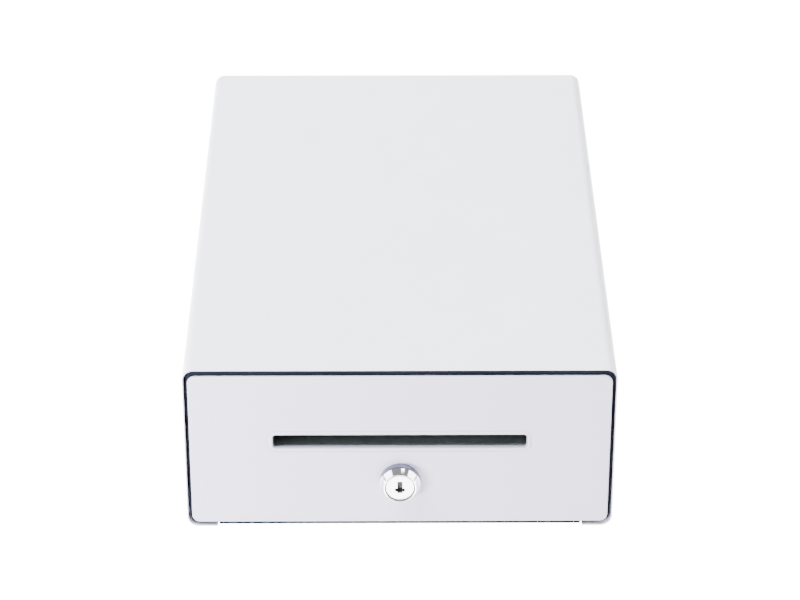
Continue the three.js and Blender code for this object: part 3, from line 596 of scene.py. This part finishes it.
def refine(thing, width):
    """Better edges on a CAD node: flat faces joined, sharp edges rounded, normals weighted."""
    thing.data.polygons.foreach_set("use_smooth", [True] * len(thing.data.polygons))
    thing.modifiers.new("weld", "WELD").merge_threshold = WELD_DISTANCE
    flat = thing.modifiers.new("join_flat", "DECIMATE")
    flat.decimate_type = "DISSOLVE"
    flat.angle_limit = FLAT_ANGLE
    if width:
        rounding = thing.modifiers.new("edges", "BEVEL")
        rounding.width = width
        rounding.segments = 2
        rounding.limit_method = "ANGLE"
        rounding.angle_limit = SHARP_ANGLE
    thing.modifiers.new("normals", "WEIGHTED_NORMAL").keep_sharp = True


def dress_cad_nodes():
    slots = {row["node"]: row["material_slot"] for row in frame["record"]["subparts"]}
    widths = {name: width * MM for width, names in EDGE_ROUNDING.items() for name in names}
    for name, thing in NODES.items():
        thing.data.materials.clear()
        thing.data.materials.append(CHUTE_SLATE if name == "slip_chute" else SLOT_MATERIALS[slots[name]])
        refine(thing, widths.get(name, 0))


# ---------------------------------------------------------------- housing
def housing():
    """The wrapped shell, with fine corner bends and softened rims."""
    outer, inner = SHELL_RADIUS, SHELL_RADIUS - SHELL_SHEET
    x = SHELL_HIGH.x - outer
    low, high = SHELL_LOW.z + outer, SHELL_HIGH.z - outer
    tip = SHELL_HIGH.x - FLANGE
    profile = [(tip, SHELL_LOW.z)]
    profile += arc((x, low), outer, -1, 0, 12) + arc((x, high), outer, 0, 1, 12)
    profile += arc((-x, high), outer, 1, 2, 12) + arc((-x, low), outer, 2, 3, 12)
    profile += [(-tip, SHELL_LOW.z), (-tip, SHELL_LOW.z + SHELL_SHEET)]
    profile += arc((-x, low), inner, 3, 2, 12) + arc((-x, high), inner, 2, 1, 12)
    profile += arc((x, high), inner, 1, 0, 12) + arc((x, low), inner, 0, -1, 12)
    profile += [(tip, SHELL_LOW.z + SHELL_SHEET)]
    shell = piece("housing_wrap", prism(profile, FRONT, REAR, SHELL_EDGE, 3), "housing", "housing_white")
    shell.modifiers.new("normals", "WEIGHTED_NORMAL").keep_sharp = True
    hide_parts("housing_shell")


def screw_head(name, place, axis, radius):
    """A low pan head with a cross recess, its crown pointing along the given sign of its axis."""
    letter, sign = axis
    height = 1.75 * MM
    crown = [(0, 0), (radius, 0), (radius, 0.5 * MM), (radius * 0.86, 1.15 * MM),
             (radius * 0.55, 1.6 * MM), (0, height)]
    turned = [(r, sign * h) for r, h in crown]
    head = piece(name, lathe(turned, place, letter, 40), "housing", "bright_steel", 40)
    along = "xyz".index(letter)
    tip = Vector(place)
    tip[along] += sign * height
    arms = []
    for across in (i for i in range(3) if i != along):
        half = [CROSS_HALF_WIDTH] * 3
        half[across] = radius * CROSS_SHARE
        half[along] = CROSS_HALF_DEPTH
        low = [c - h for c, h in zip(tip, half)]
        high = [c + h for c, h in zip(tip, half)]
        arms.append(box_cutter(low, high))
    carved(head, arms)
    finish_mesh(head.data, STEEL, 40)


def rear():
    """The rear panel with softened edges, a window for the socket and four screws."""
    socket_low, socket_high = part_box("signal_socket")
    outline = rounded_loop(REAR_LOW.x, REAR_HIGH.x, REAR_LOW.z, REAR_HIGH.z, REAR_RADIUS)
    window = rounded_loop(socket_low.x - SOCKET_GAP, socket_high.x + SOCKET_GAP,
                          socket_low.z - SOCKET_GAP, socket_high.z + SOCKET_GAP, SOCKET_CORNER, 4)
    mesh = plate_mesh("rear_sheet", [outline, window], REAR_LOW.y, REAR_HIGH.y, REAR_EDGE)
    panel = piece("rear_sheet", mesh, "housing", "housing_white")
    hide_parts("rear_panel")
    for column, x in enumerate((REAR_LOW.x + REAR_SCREW_INSET, REAR_HIGH.x - REAR_SCREW_INSET)):
        for row, z in enumerate((REAR_LOW.z + REAR_SCREW_INSET, REAR_HIGH.z - REAR_SCREW_INSET)):
            screw_head(f"rear_screw_{column}_{row}", (x, REAR_HIGH.y, z), ("y", 1), REAR_SCREW_RADIUS)


def underside():
    """Screws that hold the base plate to the flanges, and a fine profile on the feet."""
    for side, sign in (("left", -1), ("right", 1)):
        x = sign * (SHELL_HIGH.x - FLANGE + BASE_SCREW_INSET)
        for number, share in enumerate(BASE_SCREW_SHARES):
            place = (x, FRONT + share * (REAR - FRONT), SHELL_LOW.z)
            screw_head(f"base_screw_{side}_{number}", place, ("z", -1), BASE_SCREW_RADIUS)
        for end in ("front", "rear"):
            node = f"foot_{end}_{side}"
            low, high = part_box(node)
            middle = ((low.x + high.x) / 2, (low.y + high.y) / 2, 0)
            radius = (high.x - low.x) / 2
            profile = [(0, 0), (radius - 1.3 * MM, 0), (radius - 0.7 * MM, 0.25 * MM),
                       (radius - 0.35 * MM, 0.8 * MM), (radius, high.z - 0.3 * MM),
                       (radius - 0.2 * MM, high.z), (0, high.z)]
            foot = piece(f"rubber_{node}", lathe(profile, middle, "z", 48), "housing", "foot_rubber", 50)
            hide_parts(node)


# ---------------------------------------------------------------- drawer front
def front():
    """The flush front panel with its rounded rim, slip slot and lock hole."""
    def outline(inset):
        return rounded_loop(PANEL_LOW.x + inset, PANEL_HIGH.x - inset, PANEL_LOW.z + inset,
                            PANEL_HIGH.z - inset, PANEL_RADIUS - inset, 12)

    def slot(growth):
        half, rise = SLOT_HALF + growth, SLOT_HALF_HEIGHT + growth
        return rounded_loop(-half, half, SLOT_Z - rise, SLOT_Z + rise, SLOT_CORNER + growth, 8)

    def hole(growth):
        return circle_loop(LOCK_X, LOCK_Z, LOCK_HOLE + growth)

    end = FRONT + SLOT_DEPTH
    rim = rolled(0, FRONT, PANEL_EDGE) + [(0, PANEL_BACK - 0.3 * MM), (0.3 * MM, PANEL_BACK)]
    groove = [(GROOVE + GROOVE_HALF, FRONT), (GROOVE, FRONT + GROOVE_DEPTH), (GROOVE - GROOVE_HALF, FRONT)]
    collar = [
        (0, end - 0.4 * MM), (0.12 * MM, end - 0.12 * MM), (0.4 * MM, end),
        (COLLAR_WALL - 0.4 * MM, end), (COLLAR_WALL - 0.12 * MM, end - 0.12 * MM),
        (COLLAR_WALL, end - 0.4 * MM), (COLLAR_WALL, PANEL_BACK + 0.5 * MM),
        (COLLAR_WALL + 0.15 * MM, PANEL_BACK + 0.15 * MM), (COLLAR_WALL + 0.5 * MM, PANEL_BACK),
    ]
    lip = groove + rolled(0, FRONT, SLOT_ROLL) + collar
    bore = [(0.3 * MM, FRONT), (0, FRONT + 0.3 * MM), (0, PANEL_BACK)]
    shape = pressed_plate(((outline, rim), (slot, lip), (hole, bore)))
    panel = piece("panel_face", shape, "drawer", "panel_white", 50)
    # faces inside the slot's lip, back from the face, take the darker copy of the panel coat: painted
    # shade in the slot
    panel.data.materials.append(SLOT_LIP_PAINTED_SHADE)
    for polygon in panel.data.polygons:
        centre = polygon.center
        beside = abs(centre.x) < SLOT_HALF + SLOT_ROLL
        level = abs(centre.z - SLOT_Z) < SLOT_HALF_HEIGHT + SLOT_ROLL
        polygon.material_index = int(beside and level and centre.y > FRONT + LIP_SHADE_DEPTH)
    panel.modifiers.new("normals", "WEIGHTED_NORMAL").keep_sharp = True
    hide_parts("front_panel")


def bezel():
    """The chrome bezel with a steep bevel, its barrel in a darker bluish steel that paints a shaded
    reflection, and a near-black ring round the plug that paints the shade in its gap.
    """
    nose = LOCK_LOW.y
    centre = (LOCK_X, 0, LOCK_Z)
    inner = (PLUG_HIGH.x - PLUG_LOW.x) / 2 + PLUG_GAP
    outer = (LOCK_HIGH.x - LOCK_LOW.x) / 2
    profile = [
        (inner, nose + 1.6 * MM), (inner, nose + 0.4 * MM), (8.62 * MM, nose + 0.15 * MM),
        (8.75 * MM, nose + 0.03 * MM), (8.85 * MM, nose), (8.95 * MM, nose + 0.04 * MM),
        (9.1 * MM, nose + 0.2 * MM), (outer - 0.45 * MM, nose + 3.85 * MM),
        (outer - 0.25 * MM, nose + 4.1 * MM), (outer, nose + 4.3 * MM),
        (outer, BEZEL_SEAT - 0.3 * MM), (outer - 0.2 * MM, BEZEL_SEAT), (BARREL, BEZEL_SEAT),
        (BARREL, LOCK_HIGH.y - 0.4 * MM), (BARREL - 0.4 * MM, LOCK_HIGH.y), (inner, LOCK_HIGH.y),
    ]
    chrome_ring = piece("lock_bezel", lathe(profile, centre, "y", 96), "drawer", "lock_chrome", 30)
    # barrel faces back from the bevel take the darker bluish steel: painted shaded reflection
    chrome_ring.data.materials.append(BARREL_PAINTED_SHADE)
    for polygon in chrome_ring.data.polygons:
        polygon.material_index = int(polygon.center.y > nose + PAINTED_SHADE_START)
    # a near-black ring set in the gap between plug and bezel: painted shade of that gap
    ring = [(inner - inset, nose + depth) for inset, depth in (
        (RING_INSET[0], RING_DEPTH[0]), (RING_INSET[1], RING_DEPTH[0]),
        (RING_INSET[1], RING_DEPTH[1]), (RING_INSET[0], RING_DEPTH[1]))]
    piece("lock_gap_shade_ring", lathe(ring, centre, "y", 72), "drawer", "lock_chrome", 30, GAP_SHADE_RING_PAINT)
    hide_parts("lock_body")


def plug():
    """The turning plug, with a shallow recess and a keyway in its face."""
    radius = (PLUG_HIGH.x - PLUG_LOW.x) / 2
    face, tail = PLUG_LOW.y, PLUG_HIGH.y
    centre = (LOCK_X, 0, LOCK_Z)
    profile = [
        (0, face), (radius - 0.5 * MM, face), (radius - 0.15 * MM, face + 0.15 * MM),
        (radius, face + 0.5 * MM), (radius, tail - 0.3 * MM), (radius - 0.3 * MM, tail), (0, tail),
    ]
    core = piece("lock_plug_core", lathe(profile, centre, "y", 96), "lock_plug_body", "plug_steel")
    cuts = [
        rod_cutter(RECESS_RADIUS, -MM, RECESS_DEPTH, (LOCK_X, face, LOCK_Z), 48),
        box_cutter((LOCK_X - KEYWAY_HALF, face - MM, LOCK_Z - KEYWAY_BELOW),
                   (LOCK_X + KEYWAY_HALF, face + KEYWAY_DEPTH, LOCK_Z + KEYWAY_ABOVE)),
        rod_cutter(TAIL_RADIUS, tail - TAIL_DEPTH, tail + MM, centre, 24),
    ]
    for side in (-1, 1):
        lobe = (LOCK_X + side * LOBE_OFFSET, face, LOCK_Z - LOBE_DROP)
        cuts.append(rod_cutter(LOBE_RADIUS, -MM, LOBE_DEPTH, lobe, 24))
    carved(core, cuts)
    finish_mesh(core.data, PLUG_STEEL, 30)
    core.data.materials.append(KEYWAY)
    for polygon in core.data.polygons:
        away = math.hypot(polygon.center.x - LOCK_X, polygon.center.z - LOCK_Z)
        polygon.material_index = int(away < KEYWAY_REACH and polygon.center.y > face + KEYWAY_START)
    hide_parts("lock_plug")


camera()
studio()
dress_cad_nodes()
housing()
rear()
underside()
front()
bezel()
plug()
